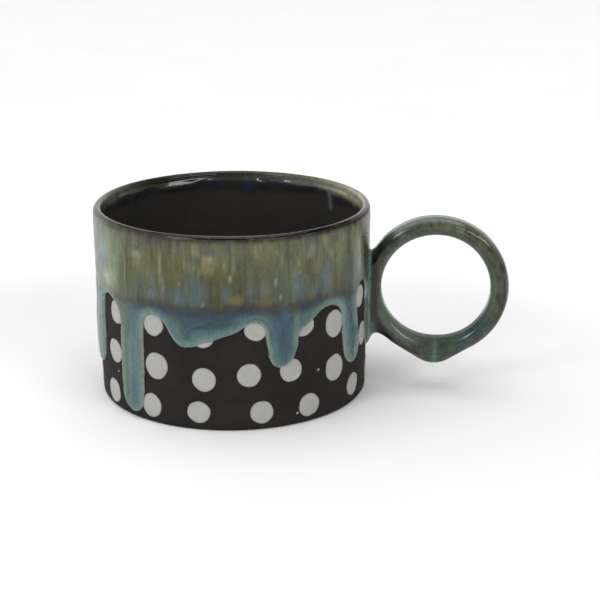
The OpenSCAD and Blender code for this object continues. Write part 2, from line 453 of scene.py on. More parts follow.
T = LINER_T
seen = arc(LIP_X, LIP_Z, LIP_R + T, -12, 0, 3)[:-1] + arc(LIP_X, LIP_Z, LIP_R + T, 0, 180, 25)
seen += line((float(r_in(69.6)) - T - 0.02, 69.6), (float(r_in(FLOOR_T + CORNER_R)) - T, FLOOR_T + CORNER_R), 110)
seen += arc(corner_x, FLOOR_T + CORNER_R, CORNER_R - T, 0, -90, 14)
for i in range(1, 45):
    r = corner_x * (1 - i / 45)
    seen.append((r, FLOOR_T + T + 0.04 * math.sin(r * 1.3) * smooth(r, 2, 8) + 0.25 * math.exp(-(r / 5.0) ** 2)))
seen.append((0.0, FLOOR_T + T + 0.25))
back = [(0.0, FLOOR_T + 0.01), (25.0, FLOOR_T + 0.01), (corner_x, FLOOR_T + 0.01)]
back += arc(corner_x, FLOOR_T + CORNER_R, CORNER_R - 0.01, -90, 0, 8)[1:]
back += line((float(r_in(12)) - 0.01, 12.0), (float(r_in(LIP_Z)) - 0.01, LIP_Z), 6)
back += arc(LIP_X, LIP_Z, LIP_R + 0.01, 180, 0, 13)


def inner_tint(th, depth):
    """Colour of the glaze lapped over the rim, by direction and by depth below the rim in mm."""
    deg = np.degrees(th)
    u = th * 48.6

    def near(a, w):
        q = (deg - a + 180) % 360 - 180
        return np.exp(-(q / w) ** 2)
    wide = 3.0 + 2.4 * near(22, 26) + 1.6 * near(175, 24) - 0.6 * near(120, 25) + 1.0 * near(-60, 40) + 0.5 * near(-120, 30)
    wide = wide + 1.6 * (lattice(u, depth, 6, 40, 301, octaves=3) - 0.5) * 2 + 0.3 * (lattice(u, depth, 1.2, 6, 302) - 0.5) * 2
    olive = blend(np.zeros(th.shape + (3,)) + (62, 63, 46), (150, 147, 124), 0.95 * near(22, 36) + 0.5 * near(-75, 50))
    olive = blend(olive, (108, 101, 64), near(14, 32) * smooth(depth, 2.6, 4.6) * 0.8)
    olive = blend(olive, (25, 25, 19), 0.95 * near(122, 25) + 0.3 * near(98, 16))
    # painted reflection: grey-green where the far left of the inner rim is seen at a grazing angle
    olive = blend(olive, (88, 91, 82), 0.9 * near(170, 18))
    spots = lattice(u, depth, 2.2, 3.2, 303, octaves=4)
    dim = 1 - 0.85 * near(128, 30)
    olive = blend(olive, (104, 106, 84), smooth(spots, 0.55, 0.8) * 0.5 * dim)
    olive = blend(olive, (50, 52, 40), smooth(spots, 0.45, 0.2) * 0.5 * (1 - 0.85 * near(22, 40)))
    dark = np.zeros(th.shape + (3,)) + (50, 49, 47)
    navy = lattice(u, depth, 9, 5, 304, octaves=3)
    shade = smooth(depth, wide * 0.75, wide * 1.1)
    c = olive * (1 - shade[..., None]) + dark * shade[..., None]
    reach = smooth(depth, wide * 0.9, wide * 1.2) * smooth(depth, wide * 2.3 + 1.5, wide * 1.5 + 0.8)
    c = blend(c, (40, 40, 54), reach * smooth(navy, 0.42, 0.62) * 0.65)
    for a, w, d0, d1, col, f in ((89, 2.0, 3.0, 8.8, (46, 54, 74), 0.9), (44, 1.9, 3.0, 12, (84, 96, 98), 0.85),
                                 (34, 4.5, 4.5, 9.5, (40, 39, 52), 0.7), (104, 4.0, 3.0, 7.5, (46, 44, 60), 0.75),
                                 (75, 6.0, 2.6, 6.0, (42, 42, 58), 0.7), (57, 4.0, 2.6, 6.5, (39, 40, 52), 0.7),
                                 (-20, 2.2, 3.0, 9.0, (70, 84, 90), 0.7), (-64, 2.6, 3.0, 11, (60, 76, 88), 0.7),
                                 (-118, 2.0, 3.0, 8.0, (60, 74, 84), 0.7), (-149, 3.2, 3.0, 8.5, (48, 56, 76), 0.7),
                                 (152, 1.8, 3.5, 8.0, (52, 60, 72), 0.6)):
        q = near(a, w) * smooth(depth, d0 - 1.0, d0 + 0.6) * smooth(depth, d1 + 0.8, d1 - 2.0)
        q = q * (0.55 + 0.9 * lattice(u, depth, 1.0, 7, 305))
        c = blend(c, col, q * f)
    return c


def lip_tint(th, r, z):
    """Colour over the lip itself: brown where the glaze thins on the outer edge, lapped olive on the inner one."""
    u = th * 50.0
    across = (r - (LIP_X - LIP_R)) / (2 * LIP_R)
    c = inner_tint(th, np.clip(CUP_H - z, 0.3, 9))
    n1, n2 = lattice(u, across * 3, 1.6, 1.5, 311, octaves=4), lattice(u, across * 3, 7, 6, 312)
    brown = stops(n1, [(0.2, (17, 14, 13)), (0.5, (23, 19, 17)), (0.7, (34, 28, 25)), (1, (70, 62, 52))])
    q = smooth(across + 0.5 * (n2 - 0.5), 0.35, 0.7)
    # painted light: the lip's outer brown turns lighter grey towards the back, none at the front
    front = smooth(-np.sin(th), -0.5, 0.6)
    return c * (1 - q[..., None]) + blend(brown, (112, 108, 96), (1 - front) * 0.5 * n1) * q[..., None]


co_a, fa_a = lathe(seen, 420, closed=False, shape=liner_shape)
co_b, fa_b = lathe(back, 420, closed=False, shape=lambda th, r, z: (r + wobble(th, z) * smooth(z, 4, 12), z))
n_a = len(co_a)
faces = list(fa_a) + [tuple(i + n_a for i in f) for f in fa_b]
first_a = list(range(420))
last_b = list(range(len(co_b) - 420, len(co_b)))
for j in range(420):
    k = (j + 1) % 420
    faces.append((last_b[j] + n_a, last_b[k] + n_a, first_a[k], first_a[j]))
co = np.vstack([co_a, co_b])
th, rr, zz = np.arctan2(co[:, 1], co[:, 0]), np.hypot(co[:, 0], co[:, 1]), co[:, 2]
soot = lattice(th * 48, zz, 14, 20, 320)
tint = blend(np.zeros((len(co), 3)) + (50, 49, 47), (56, 54, 51), soot)
tint = blend(tint, (36, 38, 42), smooth(zz, 12, 4) * 0.5)
q = smooth(zz, 65.5, 67.5)
tint = tint * (1 - q[:, None]) + lip_tint(th, rr, zz) * q[:, None]
liner = add_mesh("liner_glaze_coat", co, faces, LINER, ["liner_glaze"], {"tint": tint})

# ---------------------------------------------------------------- glaze sheets cut by a free edge
def two(a, b, nu):
    """The ends of a grid edge, named the same way from both sides of the seam."""
    if a[0] == b[0]:
        return (a[0] % nu, a[1]), (b[0] % nu, b[1])
    return a, b


def cut_sheet(u, v, f):
    """A sheet over the grid u (round) by v (up), kept where f > 0 and cut exactly where f is 0.
    Returns points (u, v), faces, f at the points and the top row's points in order round."""
    nu, nv = len(u), len(v)
    index = -np.ones((nu, nv), int)
    inside = f > 0
    pts, fv = [], []
    for i, j in zip(*np.nonzero(inside)):
        index[i, j] = len(pts)
        pts.append((u[i], v[j]))
        fv.append(f[i, j])
    cut = {}
    du = u[1] - u[0]

    def cross(a, b):
        key = (a, b) if a < b else (b, a)
        if key not in cut:
            (i0, j0), (i1, j1) = key
            f0, f1 = f[i0 % nu, j0], f[i1 % nu, j1]
            t = min(max(f0 / (f0 - f1), 0.02), 0.98)
            u0 = u[i0 % nu] + (du * nu if i0 >= nu else 0)
            u1 = u[i1 % nu] + (du * nu if i1 >= nu else 0)
            cut[key] = len(pts)
            pts.append((u0 + (u1 - u0) * t, v[j0] + (v[j1] - v[j0]) * t))
            fv.append(0.0)
        return cut[key]

    faces = []
    full = inside & np.roll(inside, -1, 0)
    full = full[:, :-1] & full[:, 1:]
    some = inside | np.roll(inside, -1, 0)
    some = (some[:, :-1] | some[:, 1:]) & ~full
    for i, j in zip(*np.nonzero(full)):
        k = (i + 1) % nu
        faces.append((index[i, j], index[k, j], index[k, j + 1], index[i, j + 1]))
    for i, j in zip(*np.nonzero(some)):
        ring = [(i, j), (i + 1, j), (i + 1, j + 1), (i, j + 1)]
        ins = [inside[a % nu, b] for a, b in ring]
        if sum(ins) == 2 and ins[0] == ins[2]:      # two opposite corners are kept apart
            for q in range(4):
                if ins[q]:
                    a, before_a, after_a = ring[q], ring[q - 1], ring[(q + 1) % 4]
                    faces.append((cross(*two(before_a, a, nu)), index[a[0] % nu, a[1]], cross(*two(a, after_a, nu))))
            continue
        poly = []
        for q in range(4):
            a, b = ring[q], ring[(q + 1) % 4]
            if ins[q]:
                poly.append(index[a[0] % nu, a[1]])
            if ins[q] != ins[(q + 1) % 4]:
                poly.append(cross(*two(a, b, nu)))
        if len(poly) > 2:
            faces.append(tuple(poly))
    return np.array(pts), faces, np.array(fv), [index[i, nv - 1] for i in range(nu)]


def sheet_solid(name, uv, faces, top, outer_r, inner_r, mat, replaces, attrs):
    """A closed coat: the sheet at outer_r and again at inner_r, meeting at the free edge and joined along the top."""
    th, z = uv[:, 0], uv[:, 1]
    n = len(uv)
    free = np.abs(outer_r - inner_r) < 1e-9
    map_in = np.arange(n)
    extra = np.nonzero(~free)[0]
    map_in[extra] = n + np.arange(len(extra))
    co_o = np.stack([outer_r * np.cos(th), outer_r * np.sin(th), z], -1)
    co_i = np.stack([inner_r[extra] * np.cos(th[extra]), inner_r[extra] * np.sin(th[extra]), z[extra]], -1)
    outward = outer_r.mean() > inner_r.mean()
    turn = (lambda f: tuple(int(i) for i in f)) if outward else (lambda f: tuple(int(i) for i in f[::-1]))
    all_faces = [turn(f) for f in faces]
    all_faces += [turn([map_in[i] for i in f[::-1]]) for f in faces if not all(free[list(f)])]
    for i in range(len(top)):
        a, b = top[i], top[(i + 1) % len(top)]
        all_faces.append(turn([b, a, map_in[a], map_in[b]][::-1]))
    both = {k: np.concatenate([v, np.asarray(v)[extra]]) for k, v in attrs.items()}
    return add_mesh(name, np.vstack([co_o, co_i]), all_faces, mat, replaces, both)


def edge_distance(u, v, curve, radius):
    """Distance in mm from each grid point (u in radians, v in mm) to a closed curve of (degrees, mm),
    and how far along the curve the nearest point lies, in mm."""
    step = np.hypot(np.radians(np.diff(curve[:, 0], append=curve[0, 0] + 360.0)) * radius,
                    np.diff(curve[:, 1], append=curve[0, 1]))
    along = np.concatenate([[0.0], np.cumsum(step)[:-1]])
    tree = kdtree.KDTree(len(curve) * 3)
    for turn in (-360.0, 0.0, 360.0):
        for k, (a, z) in enumerate(curve):
            tree.insert((math.radians(a + turn) * radius, z, 0.0), k)
    tree.balance()
    lo, hi = curve[:, 1].min(), curve[:, 1].max()
    out, where = np.full((len(u), len(v)), 30.0), np.zeros((len(u), len(v)))
    for j, z in enumerate(v):
        if z > hi + 14 or z < lo - 4:
            continue
        for i, a in enumerate(u):
            _, k, gap = tree.find((a * radius, z, 0.0))
            out[i, j], where[i, j] = gap, along[k]
    return out, where


def above(u, v, curve):
    """True where a grid point lies on the upper side of the curve, which runs once round."""
    x = np.degrees(u)
    c = np.vstack([curve, curve[:1] + [360.0, 0.0]])
    out = np.zeros((len(u), len(v)), int)
    a0, a1, z0, z1 = c[:-1, 0], c[1:, 0], c[:-1, 1], c[1:, 1]
    for i, a in enumerate(x):
        zs = []
        for turn in (-360.0, 0.0, 360.0):
            q = a + turn
            hit = ((a0 <= q) & (a1 > q)) | ((a1 <= q) & (a0 > q))
            t = (q - a0[hit]) / (a1[hit] - a0[hit])
            zs.append(z0[hit] + (z1[hit] - z0[hit]) * t)
        out[i] = np.searchsorted(np.sort(np.concatenate(zs)), v, side="left")
    return out % 2 == 1


# Free edge of the running glaze, as (direction in degrees, height in mm), once round from the far left.
EDGE = [
    (-170.2, 37), (-169.8, 30), (-168.8, 22), (-166, 16.6), (-162, 14.3), (-158, 14.2), (-154, 16), (-151.6, 19.5),
    (-150.6, 26), (-150.2, 34), (-149.8, 40), (-148, 43), (-144.5, 44), (-141, 43.3), (-138, 41.8), (-136, 39),
    (-135.2, 35), (-135.5, 30), (-135.7, 22), (-135.6, 14), (-135, 7.5), (-133, 3.9), (-129.5, 2.4), (-126, 3),
    (-123.6, 6), (-122.6, 11), (-122.2, 21), (-122, 31), (-121.7, 36), (-121, 39), (-119.5, 41), (-117, 41.9),
    (-114.5, 41.6), (-112.3, 40.3), (-110.8, 38.4), (-109.3, 36), (-107.8, 33.8), (-105.4, 32), (-102.5, 31.2),
    (-99, 31.6), (-96, 33), (-92, 34), (-88, 35.3), (-84, 36.7), (-80.4, 38), (-78.3, 39.4), (-76, 40.6),
    (-73.3, 40.5), (-71.5, 39.2), (-70.3, 36.5), (-69.7, 32), (-69, 28), (-67.5, 25), (-65, 23.3), (-62.3, 23.3),
    (-60, 24.6), (-57.8, 27), (-56.5, 30.5), (-56, 34), (-54.5, 36.3), (-52, 37.5), (-49.5, 39.2), (-47.3, 40.8),
    (-45, 42), (-42, 42.6), (-38.5, 42.3), (-36, 41.6), (-34.2, 40.2), (-33.1, 37.5), (-32.7, 33), (-32.3, 28),
    (-31.4, 23.5), (-29.8, 19.7), (-27, 17.4), (-23.8, 17.1), (-20.8, 18.8), (-19.2, 22), (-19.4, 28), (-20.4, 33),
    (-21.4, 38), (-21.8, 42), (-20.5, 44.8), (-18, 46), (-14.5, 46.4), (-11.6, 45), (-10.2, 41), (-9.8, 34),
    (-9.4, 27), (-8.4, 21.5), (-5.6, 18.4), (-1.5, 17.4), (2.5, 17.6), (6.2, 19.2), (8.6, 23.5), (9.4, 30),
    (9.9, 38), (11, 43.6), (13.6, 46.1), (17, 46), (19.7, 43.8), (21, 40), (21.5, 34), (22.2, 28.5), (24, 24.4),
    (27, 23), (30, 24.2), (31.8, 27.5), (32.3, 32), (32.7, 37), (34, 40.4), (36.5, 42), (39.5, 41.8), (42, 40),
    (44.2, 37.4), (46.8, 34.9), (50, 33.5), (53.6, 33.4), (57, 34.8), (60, 37), (62.4, 37.6), (63.9, 35.4),
    (64.5, 30), (64.8, 24), (65, 17.5), (66.3, 12.3), (69, 9.6), (72, 9.8), (74.3, 13), (75, 18.5), (75.2, 26),
    (75.5, 34), (76.5, 38.6), (79, 41.1), (82.4, 41.8), (86, 40.4), (89.2, 37.8), (92.6, 35.2), (97, 33.2),
    (101.5, 32.7), (105.4, 33.9), (108.6, 36.2), (111.3, 38.6), (114, 39.6), (116.2, 38.4), (117.3, 35),
    (117.7, 30.5), (118.4, 26.3), (120.4, 23.3), (123.4, 22.4), (126.4, 23.6), (128.2, 27), (128.8, 32),
    (129.4, 37.5), (131, 41), (134, 43), (137.5, 43.2), (140.5, 41.6), (142.5, 38.8), (143.3, 34), (143.6, 26),
    (143.8, 17), (144.7, 10.5), (147, 6.7), (150.3, 5.6), (153.4, 7.2), (155.2, 11.5), (155.8, 18), (156, 27),
    (156.5, 35), (157.8, 40), (160.6, 42.5), (164, 42.8), (167.5, 41.4), (170.6, 39), (173.8, 36.6), (177.6, 34.9),
    (181.4, 34.8), (184.6, 36.2), (186.8, 38.4), (188.6, 39.4)]
# A point past 180 belongs to the start of the next turn; the curve closes on its first point one turn on.
edge_pts = np.array(EDGE)
closed_pts = np.vstack([edge_pts, edge_pts[:3] + [360.0, 0.0]])
pre = np.vstack([edge_pts[-1:] - [360.0, 0.0], closed_pts])
dense = []
for i in range(1, len(edge_pts) + 1):
    a, b, c, d = pre[i - 1], pre[i], pre[i + 1], pre[i + 2]
    m = max(3, int(np.hypot((c - b)[0] * 0.9, (c - b)[1]) / 0.12) + 1)
    for t in np.arange(m) / m:
        dense.append(0.5 * ((2 * b) + (-a + c) * t + (2 * a - 5 * b + 4 * c - d) * t * t + (-a + 3 * b - 3 * c + d) * t ** 3))
curve = np.array(dense)
# a little unevenness, so that no stretch is drawn with a ruler
nudge = waves(1, 5, 20, 70, 0.35)
curve[:, 1] += 0.18 * nudge(np.radians(curve[:, 0]))
curve[:, 0] += 0.16 * waves(1, 6, 6, 22, 0.35)(curve[:, 1] / 9.0 + np.radians(curve[:, 0]) * 3)

NU = 760
gu = -PI + np.arange(NU) * 2 * PI / NU
gv = np.concatenate([np.arange(1.6, 48.0, 0.4), np.linspace(48.0, 69.2, 34), [69.6, 70.0, 70.4, 70.75, 71.05, 71.3, 71.5]])
dist, along = edge_distance(gu, gv, curve, 51.2)
signed = np.where(above(gu, gv, curve), dist, -dist)

# The dark line rides above the band's own lower edge; the runs don't draw it down.
low = np.array([curve[np.abs((curve[:, 0] - a + 180) % 360 - 180) < 0.6][:, 1].max(initial=30.0) for a in np.degrees(gu)])
low = np.clip(low, 31.0, 43.0)
kernel = np.exp(-0.5 * (np.arange(-24, 25) / 11.0) ** 2)
kernel /= kernel.sum()
low = np.convolve(np.concatenate([low[-24:], low, low[:24]]), kernel, "valid")
line_h = 44.4 + 0.19 * (low - 31.2) + 0.45 * waves(1, 44, 3, 14, 0.5)(gu)


def line_at(th):
    return np.interp((th + PI) % (2 * PI) - PI, gu, line_h, period=2 * PI)


def r_body(th, z):
    """The clay's outer radius, turning over the lip."""
    z = np.asarray(z, float)
    over = np.clip(LIP_R ** 2 - np.clip(z - LIP_Z, 0, LIP_R) ** 2, 0.01, None)
    return np.where(z > LIP_Z, LIP_X + np.sqrt(over), r_clay(z)) + wobble(th, z)


def coat_thickness(th, z, d):
    """Thickness of the running glaze, mm, d mm in from its free edge."""
    lh = line_at(th)
    u = th * 51.2
    rolled = smooth(lh + 1.2 - z, 0, 3.2) * (1 - 0.75 * np.exp(-(((np.degrees(th) + 350) % 360 - 180) / 14) ** 2))
    runny = smooth(37.5 - z, 0, 7)
    t = 0.70 + 0.42 * rolled + runny * 0.5 * np.clip(d / 4.2, 0, 1)
    t = t + 0.07 * (lattice(u, z, 5, 14, 91, octaves=2) - 0.5) * 2 * (1 - smooth(z, 66, 70))
    m = np.clip(d / (1.1 + 0.7 * rolled), 0, 1)
    t = t * np.sqrt(np.clip(1 - (1 - m) ** 2, 0, 1))
    thin = np.interp(z, [68.0, 69.5, 70.4, 71.1, 71.5], [1.0, 0.86, 0.66, 0.5, 0.43])
    return np.where(d <= 0, 0.0, np.maximum(t * thin, 0.02))


def running_tint(th, z, d, s):
    """Broad colour of the running glaze: mottled olive above, blue-grey tongues, a dark line, then the thick blue roll."""
    u, deg, up = th * 51.2, np.degrees(th), z - line_at(th)
    col = lattice(u, z, 4.4, 70, 401)
    col2 = lattice(u, z, 2.0, 60, 411)
    fine = lattice(u, z, 1.0, 8, 402)
    mid = lattice(u, z, 3.0, 8, 403)
    mid2 = lattice(u, z, 2.4, 6, 406)
    big = lattice(u, z, 15, 26, 404, octaves=2)
    spot = lattice(u, z, 1.5, 2.4, 405)
    c = stops(z + 1.6 * (col2 - 0.5), [
        (44, (66, 67, 48)), (50, (66, 67, 42)), (56, (70, 70, 38)), (60, (78, 78, 46)), (63, (87, 87, 56)),
        (67, (91, 91, 64)), (69.4, (82, 79, 60)), (70.2, (62, 55, 42)), (70.7, (34, 27, 22)), (71.4, (22, 18, 16))])
    c = c * (1 + 0.22 * (mid - 0.5) + 0.36 * (fine - 0.5) + 0.16 * (spot - 0.5))[..., None]
    c = blend(c, (84, 77, 33), smooth(mid2, 0.5, 0.82) * 0.6 * smooth(z, 71, 66))
    c = blend(c, (92, 103, 80), smooth(big, 0.5, 0.85) * 0.4)
    c = blend(c, (120, 121, 84), smooth(mid, 0.58, 0.85) * smooth(z, 52, 60) * smooth(z, 70.5, 68) * 0.6)
    c = blend(c, (66, 71, 72), smooth(lattice(u, z, 3.6, 5, 407), 0.6, 0.85) * smooth(z, 58, 64) * 0.6)
    # painted sheen of the bright surroundings: paler green towards the left edge; the same pale green also at the back
    side = np.clip(smooth(np.abs(deg + 152), 16, 6) + 0.7 * smooth(np.abs(deg - 95), 30, 8), 0, 1)
    c = blend(c, (116, 130, 112), side * (0.45 + 0.4 * mid))
    c = c * (1 + 0.3 * (lattice(u, z, 0.85, 11, 413) - 0.5) * smooth(z, 70.6, 69))[..., None]
    # blue-grey tongues standing on the dark line
    reach = 2.0 + 11.5 * smooth(col, 0.32, 0.78)
    w = smooth(reach - up + 5.0 * (fine - 0.5) + 3.0 * (mid2 - 0.5), -1.6, 2.2) * smooth(up, 0.6, 2.4)
    w = w * (0.35 + 0.65 * smooth(col2, 0.3, 0.55))
    c = blend(c, (66, 86, 90), w * (0.5 + 0.4 * mid))
    c = blend(c, (92, 107, 104), w * smooth(mid, 0.62, 0.85) * 0.55)
    c = blend(c, (104, 90, 48), (1 - w) * smooth(up, 5.0, 2.4) * smooth(up, 0.4, 1.4) * smooth(mid, 0.5, 0.72) * 0.75)
    # the roll and the runs
    flow = lattice(s, d, 8, 1.1, 408, around=2 * PI * 51.2 * 2, octaves=4, rough=0.62)
    dd = d + 1.9 * (flow - 0.5)
    roll = stops(dd, [(-0.4, (142, 148, 140)), (0.35, (122, 134, 129)), (0.95, (98, 123, 121)), (1.9, (81, 112, 115)),
                      (3.2, (60, 92, 98)), (4.6, (50, 78, 86)), (7, (48, 69, 80))])
    roll = roll * (1 + 0.42 * (flow - 0.5) + 0.16 * (fine - 0.5))[..., None]
    roll = blend(roll, (34, 60, 64), smooth(flow, 0.38, 0.2) * smooth(d, 0.8, 2.2) * 0.7)
    roll = blend(roll, (88, 108, 88), smooth(lattice(u, z, 8, 9, 409), 0.55, 0.75) * 0.4 * smooth(d, 0.3, 1.2))
    roll = blend(roll, (56, 84, 102), smooth(lattice(u, z, 6, 10, 410), 0.55, 0.78) * 0.5 * smooth(d, 0.8, 2.4))
    t = smooth(up + 3.0 * (fine - 0.5) + 1.4 * (mid2 - 0.5), 0.6, -1.4)
    c = c * (1 - t[..., None]) + roll * t[..., None]
    seam = smooth(d, 2.0, 3.8) * (1 - 0.85 * smooth(np.abs(deg + 152), 30, 22))
    c = blend(c, (46, 41, 37), np.exp(-((up - 0.9 + 2.2 * (fine - 0.5)) / 1.6) ** 2) * (0.35 + 0.9 * col2) * 0.9 * seam)
    c = blend(c, (42, 54, 66), np.exp(-((up + 1.0 + 1.2 * (mid2 - 0.5)) / 1.5) ** 2) * (0.3 + 0.7 * col) * seam)
    # marks: direction, height, half width and half height in mm, colour, strength
    marks = [
        (-146, 61, 4.5, 4.5, (122, 140, 148), 0.8), (-143.5, 51, 6, 4.5, (148, 162, 138), 0.75), (-138, 58, 3.5, 9, (128, 142, 122), 0.5),
        (-130.6, 56, 0.5, 9, (118, 146, 104), 0.6), (-133, 64, 1.2, 5, (108, 124, 106), 0.6), (-123.2, 65.6, 1.3, 1.2, (66, 80, 94), 0.75),
        (-123.6, 63.2, 2.4, 1.2, (142, 150, 132), 0.7), (-123, 60, 2.6, 4, (126, 130, 100), 0.5), (-112.6, 60, 0.8, 6, (128, 132, 110), 0.7),
        (-111, 53, 0.6, 3.5, (128, 132, 114), 0.6), (-106, 58, 2.8, 4, (92, 86, 42), 0.7), (-104, 54.6, 0.6, 1.0, (126, 98, 60), 0.8),
        (-103.4, 66.4, 1.2, 1.1, (76, 86, 92), 0.5), (-117, 57, 3, 5, (104, 104, 66), 0.5), (-116, 49.5, 3.5, 2.4, (88, 100, 104), 0.7),
        (-104.5, 49.5, 2.6, 3.2, (76, 100, 104), 0.65), (-91.7, 66.3, 1.6, 1.0, (78, 88, 96), 0.75), (-92, 64.3, 1.6, 1.2, (136, 142, 120), 0.75),
        (-82.8, 62, 0.7, 3, (134, 136, 104), 0.75), (-84, 57.3, 0.5, 1.2, (138, 140, 96), 0.85), (-86.3, 62, 0.5, 1.0, (134, 134, 108), 0.7),
        (-71, 65.4, 0.9, 2.8, (108, 88, 48), 0.65), (-66.2, 55.2, 0.6, 1.5, (146, 150, 124), 0.85), (-64.2, 49.9, 0.5, 1.1, (144, 138, 96), 0.85),
        (-82, 49.4, 2.2, 1.6, (118, 106, 58), 0.85), (-94.9, 47.6, 0.8, 0.8, (128, 110, 72), 0.8), (-96, 52, 3.0, 4.2, (80, 100, 104), 0.65),
        (-86, 52.5, 2.0, 3, (84, 102, 104), 0.45), (-76.5, 53, 2.2, 3.6, (86, 102, 108), 0.6), (-71, 53, 1.6, 3.2, (92, 108, 110), 0.6),
        (-57.5, 53.5, 2.6, 4.6, (86, 106, 114), 0.75), (-52, 67.4, 1.8, 1.0, (82, 92, 98), 0.7), (-51, 64.5, 1.4, 1.8, (132, 140, 122), 0.6),
        (-62.5, 41.5, 2.2, 4, (62, 92, 118), 0.6), (-57.5, 36, 1.4, 8, (100, 122, 102), 0.75), (-38.6, 58, 0.7, 8, (66, 80, 58), 0.6),
        (-29.0, 56, 1.1, 15, (50, 68, 54), 0.85), (-20.6, 58.5, 1.9, 10, (150, 155, 160), 0.8), (-24.4, 52, 1.6, 8, (96, 116, 122), 0.6),
        (-12.2, 58, 1.7, 13, (46, 62, 50), 0.9), (-15.6, 60, 1.0, 9, (112, 116, 74), 0.6), (-2.5, 60, 2.6, 14, (150, 156, 152), 0.6),
        (-35.5, 60, 1.4, 9, (108, 118, 96), 0.5), (-41, 52, 1.8, 6, (84, 100, 104), 0.5),
        (-44, 47.8, 1.4, 1.6, (92, 84, 82), 0.6), (-47, 60, 2.0, 5, (122, 126, 98), 0.5), (-42, 56, 2.0, 6, (96, 112, 114), 0.6),
        (-132.6, 24, 2.4, 19, (100, 108, 74), 0.75), (-125.6, 24, 1.6, 17, (78, 112, 128), 0.6), (-26, 26, 0.9, 9, (66, 84, 66), 0.6),
        (-128.5, 21, 1.5, 20, (112, 134, 130), 0.5), (-23.6, 27, 2.6, 11, (112, 130, 128), 0.5), (-96, 35.4, 7.5, 2.4, (100, 124, 122), 0.4),
        (-40, 44.4, 5.5, 1.8, (104, 122, 120), 0.4),
        (-157, 30, 6.5, 19, (104, 120, 104), 0.65),
        (-107, 36.4, 4, 3.6, (104, 128, 130), 0.4), (-24.4, 24, 1.2, 8, (108, 130, 128), 0.4)]
    g = np.random.default_rng(77)
    for a in np.arange(-8.0, 186.0, 9.0):
        a = a + g.uniform(-4, 4)
        kind = g.integers(0, 5)
        if kind == 0:
            marks.append((a, g.uniform(64, 67), g.uniform(1, 1.8), g.uniform(0.8, 1.2), (74, 86, 98), 0.7))
            marks.append((a, g.uniform(61.5, 63.5), 1.8, 1.5, (138, 144, 124), 0.7))
        elif kind == 1:
            marks.append((a, g.uniform(47.5, 51), g.uniform(1.2, 2.4), g.uniform(1, 1.8), (100, 92, 50), 0.6))
        elif kind == 2:
            marks.append((a, g.uniform(52, 64), g.uniform(0.5, 0.9), g.uniform(1.5, 4), (136, 138, 108), 0.75))
        elif kind == 3:
            marks.append((a, g.uniform(50, 55), g.uniform(2, 3.2), g.uniform(3, 5), (82, 102, 108), 0.65))
        else:
            marks.append((a, g.uniform(62, 67), g.uniform(0.8, 1.6), g.uniform(1.5, 3), (98, 86, 48), 0.55))
    rag = 0.55 + 0.9 * lattice(u, z, 0.9, 3.5, 412)
    for a, h, wu, wz, colour, f in marks:
        q = ((deg - a + 180) % 360 - 180) * 0.894 + 0.5 * (mid - 0.5) * wu
        c = blend(c, colour, np.exp(-(np.abs(q) / wu) ** 2.4 - (np.abs(z - h) / wz) ** 2.4) * f * rag * (1 - smooth(z, 70, 71)))
    c = blend(c, (150, 152, 142), smooth(d, 0.55, 0.05) * 0.6)
    return c


TH, Z = np.meshgrid(gu, gv, indexing="ij")
field_t = coat_thickness(TH, Z, np.clip(signed, 0, None))


def sampled(field, th, z):
    """Read a field on the wall's grid at any direction and height."""
    x = ((np.asarray(th) - gu[0]) / (gu[1] - gu[0])) % NU
    y = np.interp(z, gv, np.arange(len(gv)))
    i, j = np.floor(x).astype(int) % NU, np.minimum(y.astype(int), len(gv) - 2)
    fx, fy, k = x - np.floor(x), y - j, (i + 1) % NU
    return (field[i, j] * (1 - fx) + field[k, j] * fx) * (1 - fy) + (field[i, j + 1] * (1 - fx) + field[k, j + 1] * fx) * fy


uv, faces, fv, top = cut_sheet(gu, gv, signed)
th, z = uv[:, 0], uv[:, 1]
free = fv <= 0
d = np.where(free, 0.0, fv)
i_near = np.round((th - gu[0]) / (gu[1] - gu[0])).astype(int) % NU
j_near = np.clip(np.round(np.interp(z, gv, np.arange(len(gv)))).astype(int), 0, len(gv) - 1)
s = along[i_near, j_near]
thick = coat_thickness(th, z, d)
base = r_body(th, z)
outer_r = np.where(free, base - 0.02, base + thick)
inner_r = base - 0.02
glaze = sheet_solid("outer_glaze_coat", uv, faces, top, outer_r, inner_r, RUNNING, ["outer_glaze"],
                    {"tint": running_tint(th, z, np.where(z > 52, 9.0, d), s),
                     "dull": smooth(z, 69.2, 70.6) * (0.2 + 0.6 * smooth(np.cos(th), -0.4, 0.5))})

# ---------------------------------------------------------------- glaze lapped over the rim, inside
lap_pts = []
lap_wave = waves(1, 71, 2, 14, 0.5)
for k in range(120):
    a = -180 + k * 3.0
    zz = 63.6 + 0.9 * float(lap_wave(math.radians(a)))
    for a0, w, deep in ((89, 4, 3.2), (44, 3.4, 5.0), (34, 6, 1.5), (-20, 4, 1.5), (-64, 4, 3.5), (-118, 4, 1.5), (-149, 5, 1.2),
                        (152, 4, 0.8), (120, 10, -1.2), (66, 6, -0.6)):
        q = ((a - a0 + 180) % 360 - 180) / w
        zz -= deep * math.exp(-q * q * 1.2)
    lap_pts.append((a, zz))
lap_pts = np.array(lap_pts)
padded = np.vstack([lap_pts[-1:] - [360.0, 0.0], lap_pts, lap_pts[:2] + [360.0, 0.0]])
lap_curve = []
for i in range(1, len(lap_pts) + 1):
    a, b, c, e = padded[i - 1], padded[i], padded[i + 1], padded[i + 2]
    for t in np.arange(10) / 10:
        lap_curve.append(0.5 * ((2 * b) + (-a + c) * t + (2 * a - 5 * b + 4 * c - e) * t * t + (-a + 3 * b - 3 * c + e) * t ** 3))
lap_curve = np.array(lap_curve)
lu = -PI + np.arange(540) * 2 * PI / 540
lv = np.concatenate([np.arange(54.0, 66.6, 0.45), np.arange(66.8, 70.7, 0.25)])
